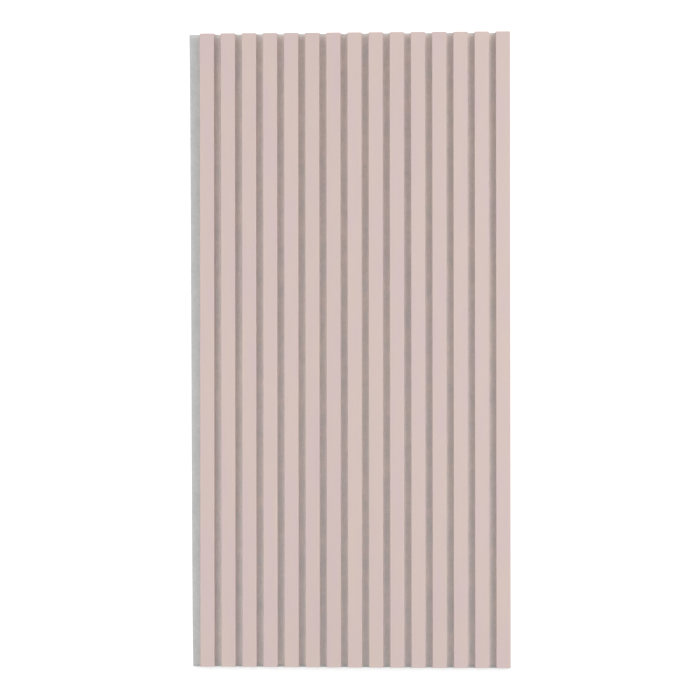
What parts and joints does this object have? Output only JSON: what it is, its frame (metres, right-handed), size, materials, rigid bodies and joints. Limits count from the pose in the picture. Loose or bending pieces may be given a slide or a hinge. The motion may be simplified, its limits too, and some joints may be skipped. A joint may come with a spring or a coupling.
{
  "type": "slatted wall panel",
  "caption": "Slatted acoustic wall panel: straight painted slats side by side on a felt sheet, with open gaps between them and a bare felt strip along one edge.",
  "frame": {"origin": "middle of the felt's underside, which lies on the floor or against the wall", "axes": "+Y along the slats, +X across them away from the bare felt strip, +Z out of the slatted face"},
  "size_m": [0.608, 1.2, 0.021],
  "materials": {
    "slat_paint": "matte",
    "felt": "matte"
  },
  "bodies": {
    "root": {"felt_backing": "felt", "slat_01": "slat_paint", "slat_02": "slat_paint", "slat_03": "slat_paint", "slat_04": "slat_paint", "slat_05": "slat_paint", "slat_06": "slat_paint", "slat_07": "slat_paint", "slat_08": "slat_paint", "slat_09": "slat_paint", "slat_10": "slat_paint", "slat_11": "slat_paint", "slat_12": "slat_paint", "slat_13": "slat_paint", "slat_14": "slat_paint", "slat_15": "slat_paint"}
  },
  "joints": []
}
